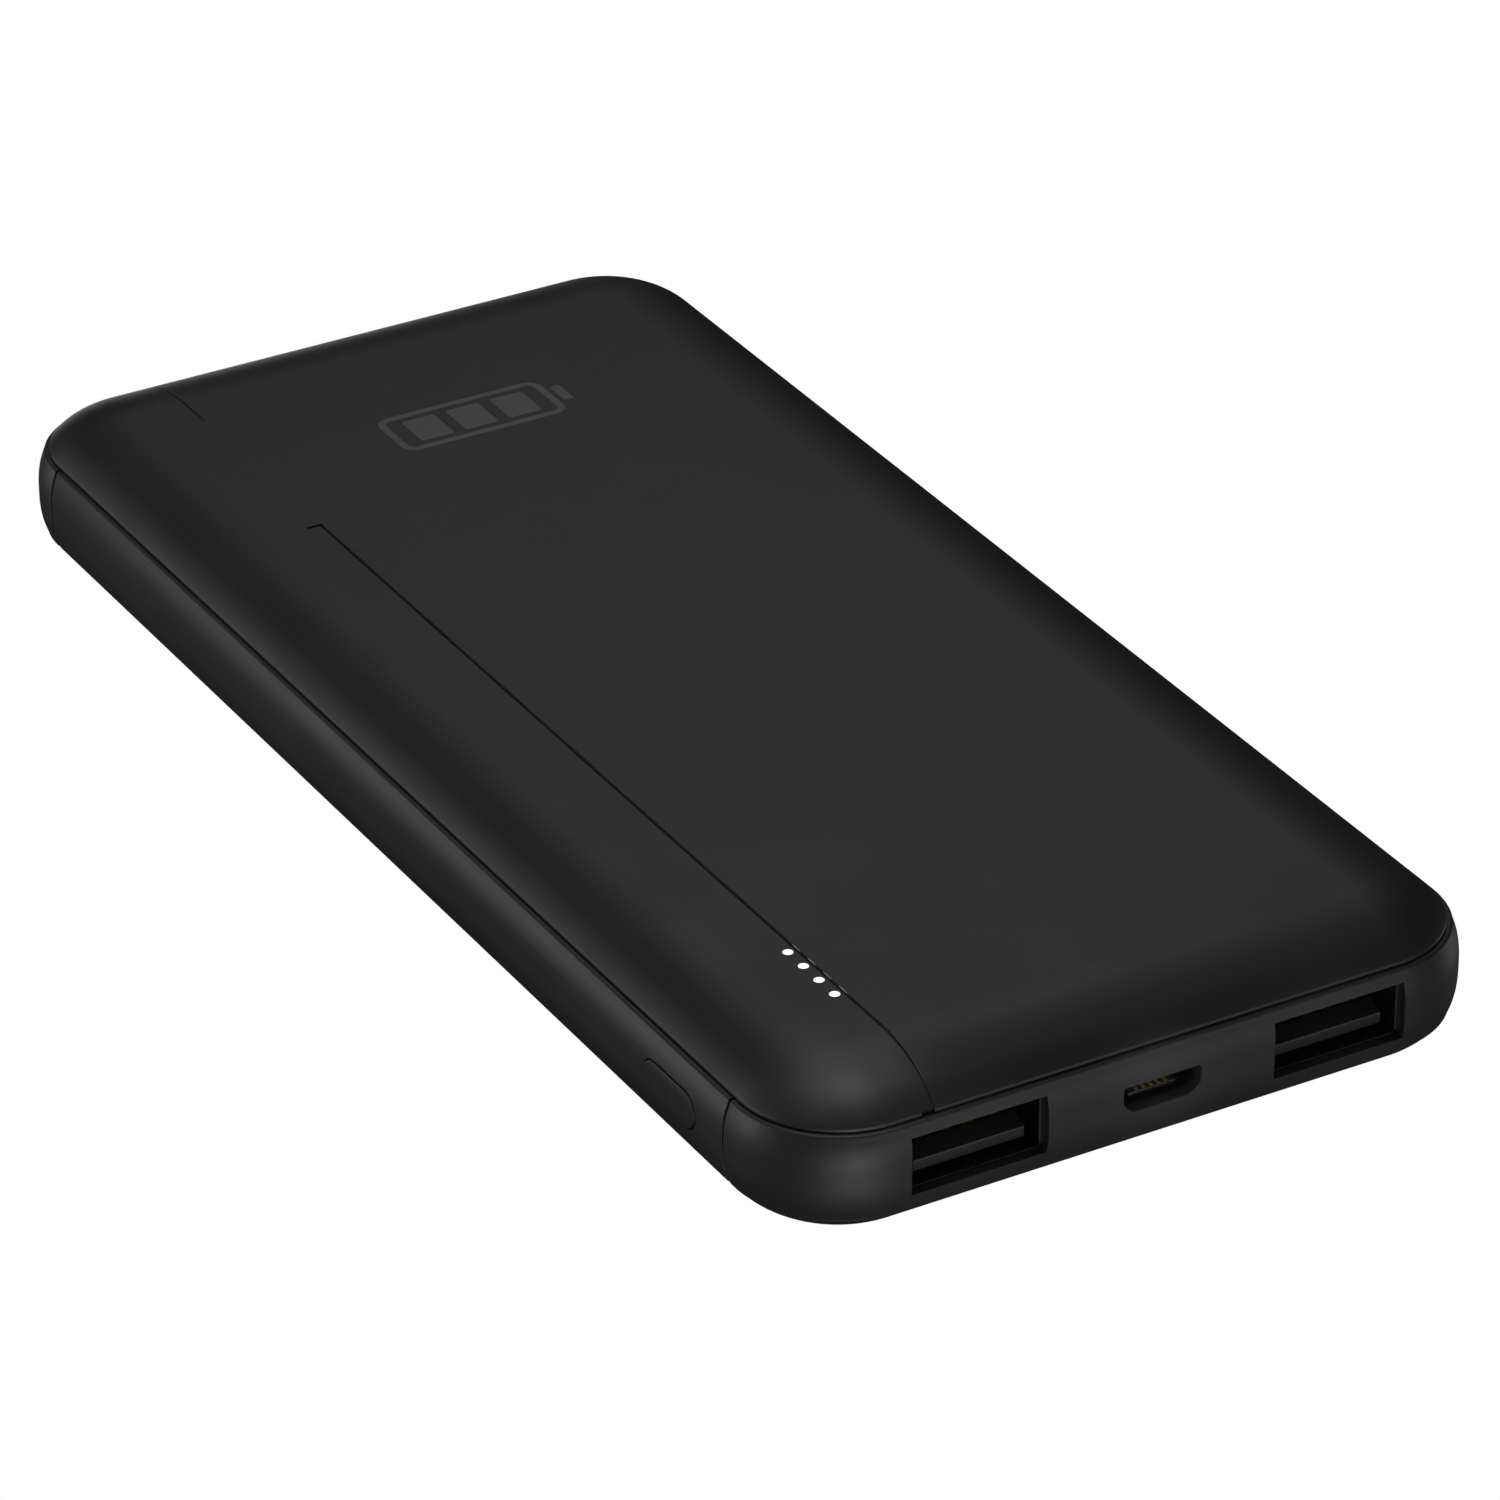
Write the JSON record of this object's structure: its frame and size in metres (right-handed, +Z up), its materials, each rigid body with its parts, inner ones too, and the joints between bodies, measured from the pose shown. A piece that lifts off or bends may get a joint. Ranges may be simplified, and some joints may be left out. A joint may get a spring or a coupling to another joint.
{
  "type": "power bank",
  "caption": "Slim rounded power bank: two snap covers over a band, wide and small charging ports on one end, a side button and a row of indicator lights.",
  "frame": {"origin": "centre of the bottom face, on the surface that the power bank lies on", "axes": "+Z up through the thickness, +Y along the length away from the ports, +X to the right seen from the port end"},
  "size_m": [0.0691, 0.1456, 0.0149],
  "materials": {
    "cover_plastic": "fine matte texture, near-black",
    "band_plastic": "fine matte texture, near-black",
    "button_plastic": "fine matte texture, near-black",
    "chassis_plastic": "moulded grey",
    "dark_moulding": "black moulding",
    "pale_moulding": "off-white moulding",
    "light_guide": "clear, lit white",
    "led_package": "phosphor yellow",
    "circuit_board": "green solder mask",
    "port_steel": "plated steel",
    "gold_contact": "gold plated",
    "ferrite": "sintered grey",
    "chip_resin": "black resin",
    "capacitor_can": "drawn can",
    "cell_foil": "laminated pouch foil",
    "tape": "adhesive tape",
    "foam": "closed-cell foam",
    "nickel_tab": "nickel strip",
    "red_lead": "silicone sleeve",
    "black_lead": "silicone sleeve",
    "screw_steel": "zinc plated"
  },
  "bodies": {
    "case": {"top_cover": "cover_plastic", "bottom_cover": "cover_plastic", "left_rail": "band_plastic", "right_rail": "band_plastic", "front_cap": "band_plastic", "rear_cap": "band_plastic", "chassis": "chassis_plastic", "switch_body": "pale_moulding", "light_guide": "light_guide", "status_leds": "led_package", "main_board": "circuit_board", "usb_shell_left": "port_steel", "usb_shell_right": "port_steel", "usb_tongue_left": "dark_moulding", "usb_tongue_right": "dark_moulding", "usb_contacts_left": "gold_contact", "usb_contacts_right": "gold_contact", "micro_shell": "port_steel", "micro_tongue": "dark_moulding", "micro_contacts": "gold_contact", "power_inductor": "ferrite", "controller_chip": "chip_resin", "power_transistors": "chip_resin", "capacitors": "capacitor_can", "resistors": "chip_resin", "lower_cell": "cell_foil", "upper_cell": "cell_foil", "cell_tape": "tape", "top_pad": "foam", "bottom_pad": "foam", "cell_board": "circuit_board", "cell_tabs": "nickel_tab", "positive_lead": "red_lead", "negative_lead": "black_lead", "board_screws": "screw_steel"},
    "button": {"power_button": "button_plastic", "switch_plunger": "dark_moulding"}
  },
  "joints": [
    {"name": "button_press", "type": "slide", "parent": "case", "child": "button", "axis": [1, 0, 0], "range_m": [0, 0.0003], "stiffness_N_per_m": 1000}
  ]
}
